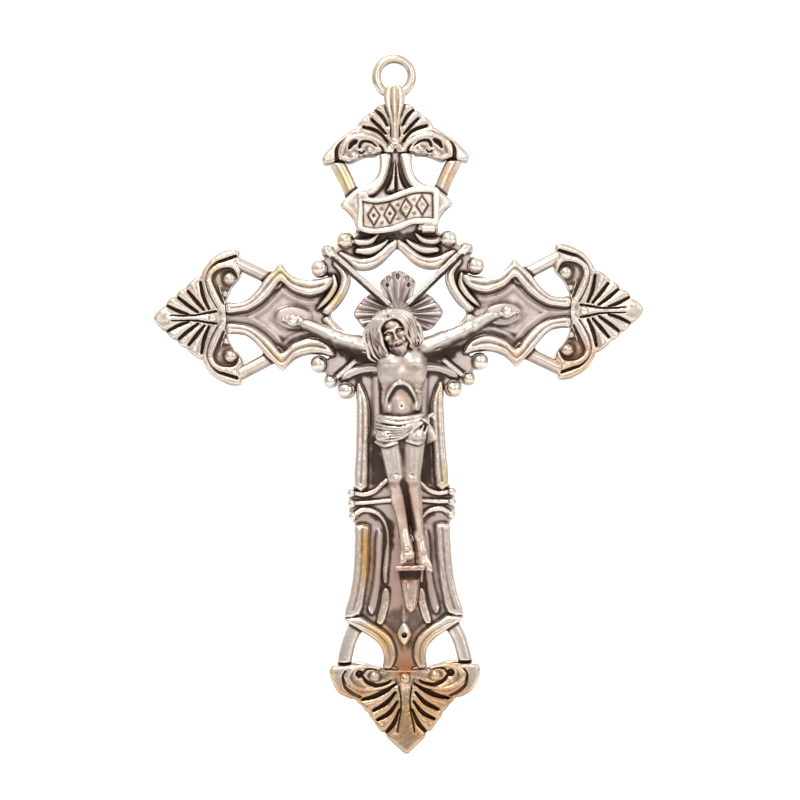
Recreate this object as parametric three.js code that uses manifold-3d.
// Ornate cast crucifix with a swinging suspension ring.
// Millimetres, +Z up. The flat back lies on the plane y = 0 and the front faces -Y.
// "Right" is +X and "left" is -X.
// Shapes are drawn on the face of the cross as [x, z], measured from where the arm line crosses
// the upright. Thickness is given as a depth in front of the flat back.
import * as THREE from "three";
import { mergeVertices } from "three/addons/utils/BufferGeometryUtils.js";
import Module from "manifold-3d";

const wasm = await Module();
wasm.setup();

// ---------- shared dimensions ----------
const ORIGIN_DROP = 9.7; // the frame's origin is this far below the crossing
const PLATE = 1.2; // thickness of the pierced back plate
const SEAM = 0.03; // soldered seam between a moulding and what it sits on
const MOUNT = PLATE + SEAM; // depth where anything soldered to the plate begins
const MOULD_TOP = 2.4; // depth reached by the border mouldings
const SCROLL_TOP = 2.15; // by the C-scrolls round the centre opening
const INNER_TOP = 1.95; // by the mouldings inside the shaft
const FINIAL_TOP = 2.3; // by the palmette finials
const FIT = 0.06; // clearance all round a peg, a shank or a lap joint
const CUT_BACK = -1; // cutters start behind the back
const CUT_FRONT = 6; // and through cutters end at this depth
const PIN_R = 0.26; // shanks of the finial rivets and the ray knobs
const SIDES = [["right", 1], ["left", -1]];

// ---------- outline helpers ----------
const ARM_MIRROR_Z = -0.1; // the lower edge of the arm mirrors the upper one about this height
const toLower = ([x, z]) => [x, 2 * ARM_MIRROR_Z - z];
const rectangle = (x0, z0, x1, z1) => [[x0, z0], [x1, z0], [x1, z1], [x0, z1]];

// completes half an outline by mirroring coordinate number `axis`
const whole = (half, axis = 0) => {
  const mirrored = half
    .filter((point) => Math.abs(point[axis]) > 1e-6)
    .map((point) => point.map((value, i) => (i === axis ? -value : value)));
  return [...half, ...mirrored.reverse()];
};

const smooth = (points, steps) =>
  new THREE.SplineCurve(points.map(([x, z]) => new THREE.Vector2(x, z)))
    .getPoints(steps)
    .map((point) => [point.x, point.y]);

// ---------- solid helpers ----------
const solid = (geometry) => {
  geometry.deleteAttribute("normal");
  geometry.deleteAttribute("uv");
  const merged = mergeVertices(geometry, 1e-5);
  return new wasm.Manifold(new wasm.Mesh({
    numProp: 3,
    vertProperties: merged.attributes.position.array,
    triVerts: new Uint32Array(merged.index.array),
  }));
};

const geometryOf = (made) => {
  const { vertProperties, triVerts } = made.getMesh();
  return new THREE.BufferGeometry()
    .setAttribute("position", new THREE.BufferAttribute(vertProperties, 3))
    .setIndex(new THREE.BufferAttribute(triVerts, 1))
    .toNonIndexed();
};

const union = (list) => list.reduce((sum, made) => sum.add(made));
const cut = (made, cutters) => cutters.reduce((rest, cutter) => rest.subtract(cutter), made);
const mirrorX = (made) => made.mirror([1, 0, 0]);
const withMirror = (made) => [made, mirrorX(made)];

// a flat outline raised between two depths
const slab = (points, from, to) => {
  const corners = points.map(([x, z]) => new THREE.Vector2(x, z));
  if (THREE.ShapeUtils.isClockWise(corners)) corners.reverse();
  const options = { depth: to - from, bevelEnabled: false, steps: 1 };
  return solid(
    new THREE.ExtrudeGeometry(new THREE.Shape(corners), options)
      .rotateX(Math.PI / 2)
      .translate(0, -from, 0),
  );
};

// a strip of constant width along a centre line
const strip = (line, width, from, to) => {
  const edge = [], otherEdge = [];
  line.forEach(([x, z], i) => {
    const [x0, z0] = line[Math.max(i - 1, 0)];
    const [x1, z1] = line[Math.min(i + 1, line.length - 1)];
    const scale = width / 2 / Math.hypot(x1 - x0, z1 - z0);
    const offsetX = -(z1 - z0) * scale;
    const offsetZ = (x1 - x0) * scale;
    edge.push([x + offsetX, z + offsetZ]);
    otherEdge.unshift([x - offsetX, z - offsetZ]);
  });
  return slab([...edge, ...otherEdge], from, to);
};

const rod = (radius, from, to, [x, z], segments) =>
  solid(
    new THREE.CylinderGeometry(radius, radius, to - from, segments)
      .translate(x, -(from + to) / 2, z),
  );
const throughHole = (radius, at, segments) => rod(radius, CUT_BACK, CUT_FRONT, at, segments);

// keeps only what lies in front of a depth
const inFrontOf = (made, depth) =>
  made.subtract(slab(rectangle(-60, -60, 60, 60), depth - 30, depth));

// a ball centred at `depth` and cut flat at `base`
const dome = (radius, depth, base, [x, z], around, down) =>
  inFrontOf(
    solid(
      new THREE.SphereGeometry(radius, around, down)
        .rotateX(Math.PI / 2)
        .translate(x, -depth, z),
    ),
    base,
  );

// an ellipsoid: centre [x, depth, z], radii in the same order, turn about the front-back axis
const egg = ([x, depth, z], [radiusX, radiusDepth, radiusZ], turn = 0) =>
  solid(
    new THREE.SphereGeometry(1, 10, 7)
      .scale(radiusX, radiusDepth, radiusZ)
      .rotateY(turn)
      .translate(x, -depth, z),
  );

// a tapered limb with round ends between two points [x, depth, z]
const limb = ([x0, depth0, z0], radius0, [x1, depth1, z1], radius1, segments = 8) => {
  const start = new THREE.Vector3(x0, -depth0, z0);
  const end = new THREE.Vector3(x1, -depth1, z1);
  const length = start.distanceTo(end);
  const profile = [];
  for (let i = 0; i <= 3; i++) {
    const angle = (-Math.PI / 2) * (1 - i / 3);
    profile.push(new THREE.Vector2(i ? radius0 * Math.cos(angle) : 0, radius0 * Math.sin(angle)));
  }
  for (let i = 0; i <= 3; i++) {
    const angle = (Math.PI / 2) * (i / 3);
    const across = i < 3 ? radius1 * Math.cos(angle) : 0;
    profile.push(new THREE.Vector2(across, length + radius1 * Math.sin(angle)));
  }
  const direction = end.sub(start).normalize();
  const up = new THREE.Vector3(0, 1, 0);
  return solid(
    new THREE.LatheGeometry(profile, segments)
      .applyQuaternion(new THREE.Quaternion().setFromUnitVectors(up, direction))
      .translate(start.x, start.y, start.z),
  );
};

// ---------- materials ----------
const metal = (red, green, blue, roughness) =>
  new THREE.MeshStandardMaterial({
    color: new THREE.Color(red, green, blue),
    roughness,
    metalness: 1,
  });
const BRIGHT = metal(0.72, 0.66, 0.58, 0.38); // mouldings, finials, rivets and ring
const FIELD = metal(0.34, 0.29, 0.27, 0.55); // darker back plate
const FIGURE = metal(0.8, 0.74, 0.66, 0.32);

// ---------- assembly ----------
const cross = new THREE.Group();
cross.name = "crucifix";
cross.position.z = ORIGIN_DROP;

const put = (name, made, material = BRIGHT) => {
  const mesh = new THREE.Mesh(geometryOf(made), material);
  mesh.name = name;
  cross.add(mesh);
};
const putPair = (name, made) => {
  put(name + "_right", made);
  put(name + "_left", mirrorX(made));
};

// ---------- struts, cast with the plate and reaching out behind the finials ----------
const STRUT_TOP = 2.1; // depth of the raised crest between border and finial
const CREST_INSET = 0.3; // how much narrower the crest is than its strut
const CREST_SINK = 0.2; // how far the crest starts inside the plate

// line, crest: centre lines [x, z]
const ARM_STRUT = {
  width: 1.25,
  line: [[13.4, 3.95], [15.6, 5.05], [18.5, 6.5]],
  crest: [[14.75, 4.6], [15.6, 5.05], [16.75, 5.6]],
};
const LOWER_ARM_STRUT = {
  width: ARM_STRUT.width,
  line: ARM_STRUT.line.map(toLower),
  crest: ARM_STRUT.crest.map(toLower),
};
const TOP_STRUT = {
  width: 1.5,
  line: [[4.75, 13.0], [5.5, 14.9], [6.6, 17.0]],
  crest: [[5.05, 13.75], [5.5, 14.9], [6.15, 16.15]],
};
const BASE_STRUT = {
  width: 1.5,
  line: [[5.1, -33.6], [6.05, -35.6], [6.75, -38.6]],
  crest: [[5.6, -34.75], [6.05, -35.6], [6.45, -37.4]],
};
const STRUTS = [ARM_STRUT, LOWER_ARM_STRUT, TOP_STRUT, BASE_STRUT];

// the pocket a strut laps into, running on a little past its end
const strutPocket = ({ line, width }) => {
  const overrun = 0.1;
  const [[x0, z0], [x1, z1]] = line.slice(-2);
  const scale = overrun / Math.hypot(x1 - x0, z1 - z0);
  const end = [x1 + (x1 - x0) * scale, z1 + (z1 - z0) * scale];
  return strip([...line.slice(0, -1), end], width + 2 * FIT, CUT_BACK, MOUNT);
};

// ---------- finials ----------
const TONGUE_HALF = 0.9; // half-width of the plate tongue that laps behind each finial
const GROOVE_WIDTH = 0.34;
const GROOVE_DEPTH = 0.5;
const EYE_R = 0.42;
const RIVET_HEAD_R = 0.46;

// distance of each finial's rivet from the crossing, signed along its axis
const ROOTS = { side: 20.1, top: 18.7, base: -39.4 };
const ROOT_POINTS = {
  right: [ROOTS.side, 0],
  left: [-ROOTS.side, 0],
  top: [0, ROOTS.top],
  bottom: [0, ROOTS.base],
};

// half: half outline; grooves: centre lines between the leaves; eye: centre of the volute.
// All are [u, v]: u outwards from the rivet, v sideways. place turns [u, v] into [x, z].
// tongue: how far the plate tongue reaches beyond the rivet.
const SIDE = {
  tongue: 1.5,
  place: ([u, v]) => [ROOTS.side + u, v],
  half: [
    [6.5, 0], [6.3, 0.5], [5.3, 1.5], [4.2, 2.5], [3.2, 3.3], [2.2, 4.05], [1.4, 4.7],
    [0.9, 5.4], [0.2, 6.3], [-0.9, 7.0], [-2.0, 7.4], [-2.9, 7.3], [-3.0, 6.6], [-2.75, 6.0],
    [-3.1, 5.3], [-3.15, 4.7], [-2.8, 4.1], [-2.2, 3.5], [-1.8, 2.8], [-1.5, 2.1],
    [-1.45, 1.7], [-1.45, 0],
  ],
  grooves: [
    [[0.2, 1.1], [0.9, 2.5], [1.2, 3.6]],
    [[0.95, 1.05], [2.3, 2.55]],
    [[1.9, 0.85], [3.3, 1.95]],
    [[3.1, 0.5], [4.7, 1.25]],
  ],
  eye: [-0.45, 4.3],
};
const TOP = {
  tongue: 1.5,
  place: ([u, v]) => [v, ROOTS.top + u],
  half: [
    [5.5, 0], [5.5, 0.8], [4.6, 0.82], [4.3, 1.3], [3.8, 2.1], [3.15, 2.9], [2.4, 3.7],
    [1.6, 4.4], [1.1, 5.1], [0.5, 6.0], [-0.3, 6.9], [-1.2, 7.7], [-1.8, 8.0], [-2.3, 7.7],
    [-2.3, 6.9], [-1.9, 6.2], [-2.1, 5.5], [-2.2, 4.9], [-1.9, 4.3], [-1.6, 3.6],
    [-1.5, 3.0], [-1.5, 2.2], [-1.2, 1.8], [-1.2, 0],
  ],
  grooves: [
    [[0, 0.95], [0.9, 2.1], [1.5, 3.2]],
    [[1, 1.05], [2.3, 2.5]],
    [[2.1, 0.85], [3.2, 1.85]],
    [[3.0, 0.5], [3.9, 0.9]],
  ],
  eye: [-0.35, 4.4],
};
const BASE = {
  tongue: 1.4,
  place: ([u, v]) => [v, ROOTS.base - u],
  half: [
    [8.3, 0], [8.0, 0.5], [6.8, 1.8], [5.6, 2.9], [4.0, 4.1], [2.8, 5.0], [2.1, 6.3],
    [1.5, 7.3], [0.3, 8.0], [-0.8, 8.2], [-1.4, 7.8], [-1.5, 6.9], [-1.5, 6.2],
    [-1.65, 5.4], [-1.65, 4.7], [-1.35, 4.0], [-1.2, 3.3], [-1.1, 2.6], [-0.85, 2.45],
    [-0.85, 0],
  ],
  grooves: [
    [[0.4, 1.1], [1.6, 2.4], [2.2, 4.2]],
    [[1.8, 1], [3.0, 2.0], [3.5, 3.15]],
    [[2.8, 0.8], [4.1, 1.65], [4.7, 2.5]],
    [[4.1, 0.5], [5.3, 1.05], [5.9, 1.6]],
  ],
  eye: [-0.5, 5.0],
};

// the uncarved palmette with its lap pockets and rivet hole
const finialBlank = ({ half, place, tongue }, strutPockets) => {
  const tonguePocket = rectangle(-3, -TONGUE_HALF - FIT, tongue + 2 * FIT, TONGUE_HALF + FIT);
  return cut(slab(whole(half, 1).map(place), 0, FINIAL_TOP), [
    slab(tonguePocket.map(place), CUT_BACK, MOUNT),
    ...strutPockets,
    throughHole(PIN_R + FIT, place([0, 0]), 12),
  ]);
};

const carve = (made, { grooves, eye: [eyeU, eyeV], place }) => {
  const floor = FINIAL_TOP - GROOVE_DEPTH;
  const cutters = [1, -1].flatMap((side) => [
    ...grooves.map((groove) => {
      const line = groove.map(([u, v]) => place([u, side * v]));
      return strip(line, GROOVE_WIDTH, floor, CUT_FRONT);
    }),
    rod(EYE_R, floor, CUT_FRONT, place([eyeU, side * eyeV]), 10),
  ]);
  return cut(made, cutters);
};

// ---------- ring and its lug on the top finial ----------
const HINGE_Z = 24.05; // height of the ring's pivot
const HINGE_DEPTH = 1.2;
const LUG_R = 1.12;
const LUG_HALF = 0.8; // half the lug's length along X
const LUG_BORE_R = 0.77;
const RING_R = 1.93; // centre line radius
const RING_WIRE_R = 0.48;
const RING_DROP = 0.087; // the ring's centre line dips this far below the pivot

const hingeRod = (radius, length) =>
  solid(
    new THREE.CylinderGeometry(radius, radius, length, 20)
      .rotateZ(Math.PI / 2)
      .translate(0, -HINGE_DEPTH, HINGE_Z),
  );

const sideFinial = () => {
  const pockets = [strutPocket(ARM_STRUT), strutPocket(LOWER_ARM_STRUT)];
  return carve(finialBlank(SIDE, pockets), SIDE);
};

const topFinial = () => {
  // above the pivot only the round lug is left, so that the ring can swing
  const crown = slab(rectangle(-3, HINGE_Z, 3, HINGE_Z + 4), CUT_BACK, CUT_FRONT);
  const made = finialBlank(TOP, withMirror(strutPocket(TOP_STRUT)))
    .subtract(crown)
    .add(hingeRod(LUG_R, 2 * LUG_HALF))
    .subtract(hingeRod(LUG_BORE_R, 6));
  return carve(made, TOP);
};

const bottomFinial = () =>
  carve(finialBlank(BASE, withMirror(strutPocket(BASE_STRUT))), BASE);

const finialRivet = (at) =>
  rod(PIN_R, 0, FINIAL_TOP + 0.3, at, 10)
    .add(dome(RIVET_HEAD_R, FINIAL_TOP + 0.22, FINIAL_TOP + SEAM, at, 8, 6));

const suspensionRing = () =>
  solid(
    new THREE.TorusGeometry(RING_R, RING_WIRE_R, 10, 28)
      .rotateX(Math.PI / 2)
      .translate(0, -HINGE_DEPTH, HINGE_Z + RING_R - RING_DROP),
  );

putPair("finial", sideFinial());
put("finial_top", topFinial());
put("finial_bottom", bottomFinial());
for (const [name, at] of Object.entries(ROOT_POINTS)) put("finial_rivet_" + name, finialRivet(at));
put("suspension_ring", suspensionRing());

// ---------- borders and scrolls, right half, [x, z] ----------
const ARM_OUT = [
  [18.6, 1.55], [17.6, 1.6], [16.7, 1.75], [15.9, 2.3], [15.1, 3.2], [14.4, 4.2],
  [13.5, 4.95], [12.65, 5.8], [12.1, 5.1], [11.4, 4.5], [10.6, 4.15], [9.6, 3.95],
  [8.4, 4.0], [7.5, 4.25],
];
const ARM_IN = [
  [6.95, 4.1], [7.2, 3.3], [7.8, 2.65], [8.6, 2.25], [9.6, 2.1], [10.6, 2.35], [11.6, 2.8],
  [12.65, 3.7], [13.3, 3.0], [14.1, 2.1], [15.0, 1.35], [16.0, 0.75], [17.0, 0.5],
  [18.6, 0.42],
];
const ARM_BORDER = [...ARM_OUT, ...ARM_IN];
const TOP_BORDER = [
  [1.68, 17.42], [1.76, 16.6], [1.82, 15.9], [1.98, 15.2], [2.45, 14.55], [3.3, 14.05],
  [4.25, 13.75], [5.1, 13.1], [6.15, 11.9], [5.3, 11.2], [4.7, 10.4], [4.35, 9.6],
  [4.25, 9.0], [2.3, 9.0], [2.25, 9.6], [2.6, 10.5], [3.1, 11.2], [3.9, 11.95], [3.3, 12.6],
  [2.3, 13.0], [1.55, 13.8], [1.0, 14.8], [0.72, 15.8], [0.56, 16.6], [0.5, 17.42],
];
const SIDE_SCROLL_UPPER = [
  [6.75, 6.0], [5.9, 5.3], [5.35, 4.5], [5.25, 3.8], [5.45, 3.0], [5.9, 2.1], [6.7, 1.0],
  [7.6, 0.05], [8.3, 0.45], [7.5, 1.35], [6.75, 2.3], [6.3, 3.2], [6.15, 4.1], [6.4, 4.8],
  [7.0, 5.5],
];
const SIDE_SCROLL_LOWER = [
  [7.6, -0.05], [6.9, -0.9], [6.2, -1.6], [5.5, -2.3], [5.0, -2.9], [5.75, -3.4],
  [6.25, -2.9], [6.9, -2.15], [7.55, -1.35], [8.3, -0.45],
];
const TOP_SCROLL = [
  [0.04, 7.3], [0.7, 6.65], [1.6, 5.75], [2.6, 5.15], [3.8, 4.95], [4.7, 5.15], [5.6, 5.9],
  [6.4, 6.6], [6.0, 6.95], [5.2, 6.6], [4.4, 6.25], [3.6, 6.15], [2.7, 6.3], [1.9, 6.85],
  [1.2, 7.5], [0.6, 7.95], [0.04, 8.2],
];
const SHAFT_UPPER = [
  [4.35, -7.2], [4.7, -7.6], [4.75, -9.0], [4.8, -12.0], [4.95, -15.0], [5.1, -18.7],
  [3.7, -18.7], [3.5, -15.0], [3.35, -13.0], [3.3, -11.0], [3.4, -9.5], [3.75, -8.25],
];
const SHAFT_LOWER = [
  [5.1, -22.75], [5.2, -24.0], [5.3, -26.0], [5.5, -28.5], [5.9, -30.5], [6.5, -32.75],
  [4.75, -32.45], [4.25, -30.5], [3.9, -28.5], [3.65, -26.0], [3.6, -24.0], [3.6, -22.75],
];
const BASE_SCROLL = [
  [6.55, -32.95], [5.0, -34.1], [4.2, -34.6], [3.2, -35.3], [2.5, -36.2], [2.3, -37.3],
  [2.4, -38.3], [1.5, -38.45], [1.15, -37.9], [0.95, -37.2], [0.95, -36.4], [1.3, -35.3],
  [2.0, -34.4], [3.0, -33.7], [4.0, -33.1], [4.8, -32.65],
];
// centre lines of the strips
const HEAD_SCROLL = smooth(
  [[6.05, -6.75], [5.6, -6.45], [5.0, -6.15], [4.0, -5.85], [3.0, -5.75], [2.2, -5.85]], 10);
const SHAFT_SCROLL = smooth([
  [5.2, -21.75], [4.4, -21.2], [3.5, -21.2], [2.7, -21.5], [2.05, -22.2], [1.65, -23.3],
  [1.55, -24.6], [1.7, -26.2], [1.9, -27.8], [1.95, -29.0],
], 22);
const BASE_LEAF = smooth([[1.9, -29.9], [2.0, -31.2], [2.3, -32.4], [2.6, -33.3]], 8);
const SHAFT_SCROLL_WIDTH = 0.62;
const BASE_LEAF_WIDTH = 0.75;

// a small ball at the outer end of a shaft scroll or collar
const endKnob = (radius, at) => dome(radius, 1.75, MOUNT, at, 8, 6);
const shaftScroll = () =>
  strip(SHAFT_SCROLL, SHAFT_SCROLL_WIDTH, MOUNT, INNER_TOP).add(endKnob(0.48, [5.3, -21.8]));

const MOULDINGS = {
  arm_border_upper: slab(ARM_BORDER, MOUNT, MOULD_TOP),
  arm_border_lower: slab(ARM_BORDER.map(toLower), MOUNT, MOULD_TOP),
  top_border: slab(TOP_BORDER, MOUNT, MOULD_TOP),
  side_scroll_upper: slab(SIDE_SCROLL_UPPER, MOUNT, SCROLL_TOP),
  side_scroll_lower: slab(SIDE_SCROLL_LOWER, MOUNT, SCROLL_TOP),
  top_scroll: slab(TOP_SCROLL, MOUNT, SCROLL_TOP),
  shaft_head_scroll: strip(HEAD_SCROLL, 0.7, MOUNT, INNER_TOP),
  shaft_border_upper: slab(SHAFT_UPPER, MOUNT, MOULD_TOP),
  shaft_border_lower: slab(SHAFT_LOWER, MOUNT, MOULD_TOP),
  base_scroll: slab(BASE_SCROLL, MOUNT, MOULD_TOP - 0.1),
  shaft_scroll: shaftScroll(),
  base_leaf: strip(BASE_LEAF, BASE_LEAF_WIDTH, MOUNT, INNER_TOP),
};
for (const [name, made] of Object.entries(MOULDINGS)) putPair(name, made);

// ---------- collars across the shaft ----------
// line: right half of the centre line; knob: end ball; block: bottom and top z of the middle block
const COLLARS = {
  upper: {
    line: [
      [5.3, -19.25], [4.2, -19.45], [3.3, -19.3], [2.6, -18.9], [2.1, -18.4], [1.2, -17.8],
      [0, -17.5],
    ],
    width: 0.6,
    knob: [5.4, -19.3],
    block: [-17.85, -17.2],
  },
  middle: {
    line: [[5.35, -20.4], [3.6, -20.35], [1.8, -20.2], [0, -20.1]],
    width: 0.5,
    knob: [5.4, -20.45],
    block: [-20.35, -19.85],
  },
};

const collar = ({ line, width, knob, block: [bottom, top] }) =>
  union([
    ...withMirror(strip(smooth(line, 12), width, MOUNT, INNER_TOP)),
    ...withMirror(endKnob(0.46, knob)),
    slab(rectangle(-0.3, bottom, 0.3, top), MOUNT, INNER_TOP),
  ]);

for (const [name, shape] of Object.entries(COLLARS)) put("collar_" + name, collar(shape));

// ---------- ball-headed rivets at the four diagonals ----------
const BEAD_R = 0.98; // plate disc under each ball head
const BEAD_INSET = 0.03; // the ball is this much smaller than its disc
const BEAD_SHANK_R = 0.32;
const BEADS = {
  arm_upper: [8.45, 5.15],
  top: [5.6, 8.1],
  arm_lower: [8.7, -5.25],
  shaft: [5.8, -8.15],
};

const beadRivet = (at) =>
  rod(BEAD_SHANK_R, 0, 1.9, at, 10).add(dome(BEAD_R - BEAD_INSET, 1.85, MOUNT, at, 12, 8));

for (const [name, [x, z]] of Object.entries(BEADS)) {
  for (const [side, sign] of SIDES) put(`bead_rivet_${name}_${side}`, beadRivet([sign * x, z]));
}

// ---------- rays ----------
const KNOB_R = 0.7; // balls at the outer ends of the rays
const RAY_R = 0.31;
// start, end: ray rod from knob to inner end, [x, depth, z]; base: depth its back is cut flat at
const UPPER_RAY = { start: [7.55, 2.37, 7.05], end: [1.0, 2.52, 0.95], base: SCROLL_TOP + SEAM };
const LOWER_RAY = { start: [7.5, 1.6, -7.1], end: [4.75, 1.6, -4.8], base: MOUNT };
const knobPoint = ({ start: [x, , z] }) => [x, z];
const UPPER_KNOB = knobPoint(UPPER_RAY);
const LOWER_KNOB = knobPoint(LOWER_RAY);

const ray = (shape) => {
  const knob = knobPoint(shape);
  return union([
    rod(PIN_R, 0, 1.9, knob, 10),
    dome(KNOB_R, 1.8, MOUNT, knob, 10, 6),
    inFrontOf(limb(shape.start, RAY_R, shape.end, RAY_R), shape.base),
  ]);
};

putPair("ray_upper", ray(UPPER_RAY));
putPair("ray_lower", ray(LOWER_RAY));

// ---------- nimbus, with a round boss on its front ----------
const NIMBUS = [
  [0, 4.75], [0.75, 4.5], [1.5, 3.95], [1.95, 3.35], [1.7, 2.5], [2.2, 2.25], [3.1, 2.3],
  [4.0, 1.6], [4.9, 0.3], [4.5, -0.6], [3.6, -1.75], [2.4, -1.95], [1.2, -2.3], [0, -2.4],
];
const NIMBUS_BACK = 1.55;

const nimbus = () =>
  slab(whole(NIMBUS), NIMBUS_BACK, 2.12).add(rod(0.55, NIMBUS_BACK, 2.86, [-0.4, -1.5], 12));

put("nimbus", nimbus());

// ---------- scroll plaque over the head of the cross ----------
const PLAQUE = [
  [-4.25, 13.15], [-3.4, 12.75], [-2.1, 12.5], [-0.8, 12.75], [0.6, 13.3], [2.1, 13.75],
  [3.5, 13.8], [4.6, 13.4], [4.65, 12.0], [4.5, 9.6], [4.35, 9.0], [3.7, 8.75],
  [3.0, 8.85], [2.5, 9.4], [1.5, 9.55], [0.4, 9.1], [-1.0, 8.8], [-2.5, 8.7], [-3.6, 8.9],
  [-4.35, 9.4], [-4.3, 10.5], [-4.15, 12.0],
];
const PLAQUE_BACK = MOULD_TOP + SEAM;
const ROLL_DEPTH = MOULD_TOP + 0.6; // centre of the rolled edges
const ROLL_R = 0.3;
const PLAQUE_PEGS = [[-2.2, 10.6], [2.2, 10.9]];
const BACK_PEG_R = 0.35; // pegs of the plaque and the foot rest

const plaqueRoll = (x0, x1, z) =>
  inFrontOf(limb([x0, ROLL_DEPTH, z], ROLL_R, [x1, ROLL_DEPTH, z], ROLL_R, 10), PLAQUE_BACK);
const scrollPlaque = () =>
  union([
    slab(PLAQUE, PLAQUE_BACK, MOULD_TOP + 0.75),
    plaqueRoll(2.9, 4.1, 9.05),
    plaqueRoll(-3.95, -2.8, 12.95),
    ...PLAQUE_PEGS.map((at) => rod(BACK_PEG_R, 0, MOULD_TOP + 0.3, at, 10)),
  ]);

put("scroll_plaque", scrollPlaque());

// ---------- foot rest and base boss ----------
const LEDGE = [[-0.75, -27.1], [2.25, -27.1], [2.1, -27.65], [-0.6, -27.65]];
const BRACKET = [
  [-0.45, -27.5], [1.95, -27.5], [1.85, -29.0], [1.55, -31.4], [1.1, -32.4], [0.4, -32.4],
  [-0.05, -31.4], [-0.35, -29.0],
];
const REST_PEG = [0.75, -28.6];
const BOSS = [[0, -33.3], [0.7, -34.1], [0.82, -34.9], [0.45, -35.7], [0, -36.1]];

const footRest = () => {
  // channels that clear the shaft scroll and the leaf, each run on past the strip's end
  const channel = (line, width) => strip(line, width + 2 * FIT, CUT_BACK, INNER_TOP + SEAM);
  return union([
    slab(LEDGE, MOUNT, 4.25),
    slab(BRACKET, MOUNT, 2.6),
    rod(BACK_PEG_R, 0, 2, REST_PEG, 10),
  ])
    .subtract(channel([...SHAFT_SCROLL, [1.96, -29.0 - FIT]], SHAFT_SCROLL_WIDTH))
    .subtract(channel([[1.89, -29.9 + FIT], ...BASE_LEAF], BASE_LEAF_WIDTH));
};

const baseBoss = () =>
  slab(whole(BOSS), MOUNT, 1.8).subtract(throughHole(0.26, [0, -34.8], 12));

put("foot_rest", footRest());
put("base_boss", baseBoss());

// ---------- figure and its nails ----------
const NAIL_R = 0.24; // shank
const NAIL_HEAD_R = 0.52;
const NAIL_HEAD_DEPTH = 2.72;
const HANDS = { left: [-11.35, -0.35], right: [11.75, 0.15] };
const FIGURE_PEG_R = 0.45;
const CHEST_PEG = [0.25, -6.6];
const ANKLE_PEG = [0.68, -24.5];

const hand = ([x, z], turn) => egg([x, 2.2, z], [1.65, 0.5, 0.72], turn);
const leg = (hip, hipR, knee, kneeR, shin, ankle, heel, toe) => [
  limb(hip, hipR, knee, kneeR),
  limb(shin, 0.86, ankle, 0.5),
  limb(heel, 0.52, toe, 0.5),
];
const arm = (shoulder, elbow, wrist, palm) => [
  limb(shoulder, 0.88, elbow, 0.72),
  limb(elbow, 0.72, wrist, 0.48),
  limb(wrist, 0.48, palm, 0.45),
];

const figure = () => {
  const body = union([
    egg([0.25, 3.6, -5.4], [2.5, 1.25, 2.1]), // chest
    limb([-2.5, 3.3, -4.05], 0.92, [2.9, 3.3, -4.0], 0.92), // shoulders
    egg([0.25, 3.35, -8.7], [1.8, 1.05, 2.4]), // belly
    egg([0.1, 3.45, -11.9], [2.75, 1.35, 1.7]), // hips and loincloth
    egg([3.2, 3.2, -12.6], [0.6, 0.6, 1.55]), // hanging end of the loincloth
    ...leg(
      [-1.3, 3.45, -12.9], 1.35, [-0.75, 3.95, -17.5], 0.92,
      [-0.75, 3.95, -17.7], [0.15, 3.05, -23.9], [0.15, 3.05, -24.0], [0.3, 3.6, -26.45],
    ),
    ...leg(
      [1.4, 3.45, -12.9], 1.4, [1.3, 3.95, -17.5], 0.95,
      [1.35, 3.95, -17.7], [1.65, 3.05, -23.9], [1.65, 3.05, -24.0], [1.55, 3.6, -26.45],
    ),
    ...arm([-2.7, 3.35, -3.75], [-6.3, 3.35, -2.95], [-9.6, 2.75, -1.3], [-10.6, 2.3, -0.75]),
    ...arm([3.1, 3.35, -3.65], [6.6, 3.35, -2.35], [9.8, 2.75, -0.55], [10.9, 2.3, -0.1]),
    hand(HANDS.left, 0.35),
    hand(HANDS.right, -0.25),
    limb([0.1, 3.6, -4.2], 0.8, [-0.3, 4.0, -2.8], 0.85), // neck
    egg([-0.35, 4.45, -2.0], [1.4, 1.45, 1.95], -0.16), // head
    egg([-0.6, 4.15, -1.2], [1.9, 1.22, 2.0], -0.16), // hair
    egg([0.05, 4.75, -3.5], [0.75, 0.7, 0.85]), // beard
    rod(FIGURE_PEG_R, 0, 3.2, CHEST_PEG, 12),
    rod(FIGURE_PEG_R, 0, 3.1, ANKLE_PEG, 12),
  ]);
  return cut(body, Object.values(HANDS).map((at) => throughHole(NAIL_R + FIT, at, 12)));
};

const handNail = (at) =>
  rod(NAIL_R, 0, 2.9, at, 10)
    .add(dome(NAIL_HEAD_R, NAIL_HEAD_DEPTH, NAIL_HEAD_DEPTH + SEAM, at, 12, 8));

put("figure", figure(), FIGURE);
for (const [name, at] of Object.entries(HANDS)) put("hand_nail_" + name, handNail(at));

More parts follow.
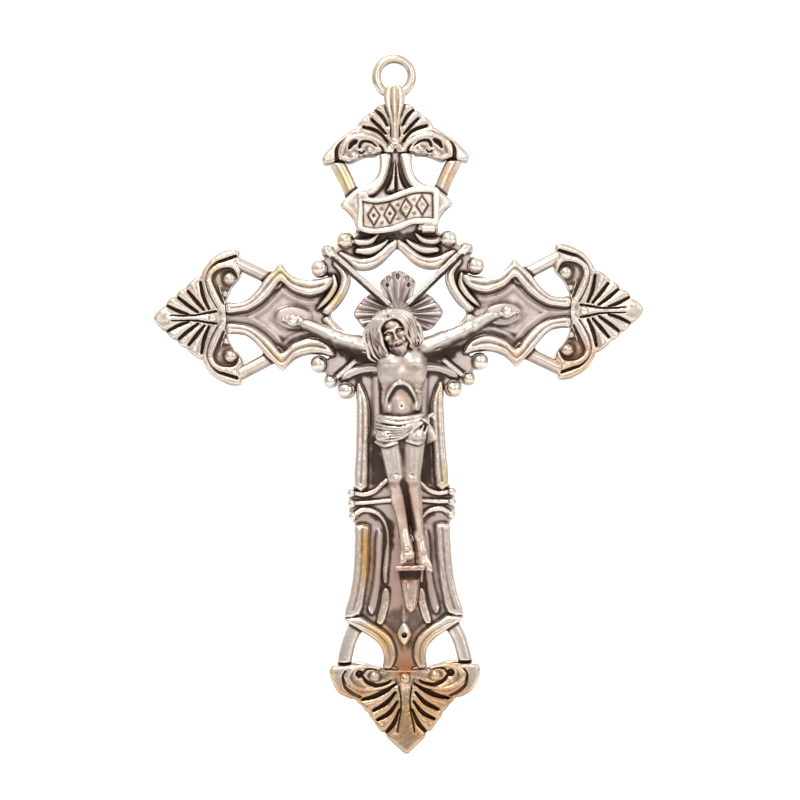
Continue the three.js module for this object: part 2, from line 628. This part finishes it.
// ---------- back plate ----------
// right half of the plate, from the top tongue down to the bottom one
const PLATE_OUTLINE = [
  [0, ROOTS.top + TOP.tongue], [TONGUE_HALF, ROOTS.top + TOP.tongue], [TONGUE_HALF, 17.5],
  ...TOP_BORDER.slice(0, 11),
  [4.45, 9.6], [4.5, 8.9], BEADS.top, UPPER_KNOB, BEADS.arm_upper,
  ...ARM_OUT.slice().reverse(),
  [18.6, TONGUE_HALF], [ROOTS.side + SIDE.tongue, TONGUE_HALF],
  [ROOTS.side + SIDE.tongue, -TONGUE_HALF], [18.6, -TONGUE_HALF],
  ...ARM_OUT.map(toLower),
  BEADS.arm_lower, LOWER_KNOB, BEADS.shaft, [4.7, -8.2],
  ...SHAFT_UPPER.slice(2, 5),
  [5.1, -18.6], [5.6, -18.9], [5.75, -19.4], [5.75, -21.9], [5.5, -22.4], [5.15, -22.6],
  ...SHAFT_LOWER.slice(1, 6),
  [6.5, -33.0],
  ...BASE_SCROLL.slice(1, 7),
  [TONGUE_HALF, -38.45], [TONGUE_HALF, ROOTS.base - BASE.tongue], [0, ROOTS.base - BASE.tongue],
];
const CENTRE_OPENING = [
  [0, 7.15], [0.75, 6.5], [1.65, 5.6], [2.65, 5.0], [3.8, 4.8], [4.75, 5.0], [5.2, 4.95],
  [5.1, 3.8], [5.3, 2.95], [5.75, 2.05], [6.55, 0.95], [7.4, 0], [6.1, -1.5], [4.9, -2.8],
  [3.0, -3.25], [0, -3.4],
];
const KNOB_DISC_R = KNOB_R + 0.08;

const onBothSides = (points) => points.flatMap(([x, z]) => [[x, z], [-x, z]]);
const BEAD_POINTS = onBothSides(Object.values(BEADS));
const KNOB_POINTS = onBothSides([UPPER_KNOB, LOWER_KNOB]);

// [shank or peg radius, the points where the plate is drilled for it]
const DRILLINGS = [
  [PIN_R, [...Object.values(ROOT_POINTS), ...KNOB_POINTS]],
  [BEAD_SHANK_R, BEAD_POINTS],
  [BACK_PEG_R, [...PLAQUE_PEGS, REST_PEG]],
  [FIGURE_PEG_R, [CHEST_PEG, ANKLE_PEG]],
  [NAIL_R, Object.values(HANDS)],
];

const backPlate = () => {
  const made = union([
    slab(whole(PLATE_OUTLINE), 0, PLATE),
    ...BEAD_POINTS.map((at) => rod(BEAD_R, 0, PLATE, at, 14)),
    ...KNOB_POINTS.map((at) => rod(KNOB_DISC_R, 0, PLATE, at, 12)),
    ...STRUTS.flatMap(({ line, width }) => withMirror(strip(line, width, 0, PLATE))),
    ...STRUTS.flatMap(({ crest, width }) =>
      withMirror(strip(crest, width - CREST_INSET, PLATE - CREST_SINK, STRUT_TOP))),
  ]);
  return cut(made, [
    slab(whole(CENTRE_OPENING), CUT_BACK, CUT_FRONT),
    ...DRILLINGS.flatMap(([radius, points]) =>
      points.map((at) => throughHole(radius + FIT, at, 10))),
  ]);
};

put("back_plate", backPlate(), FIELD);

const part = new THREE.Group();
part.add(cross);
export default part;
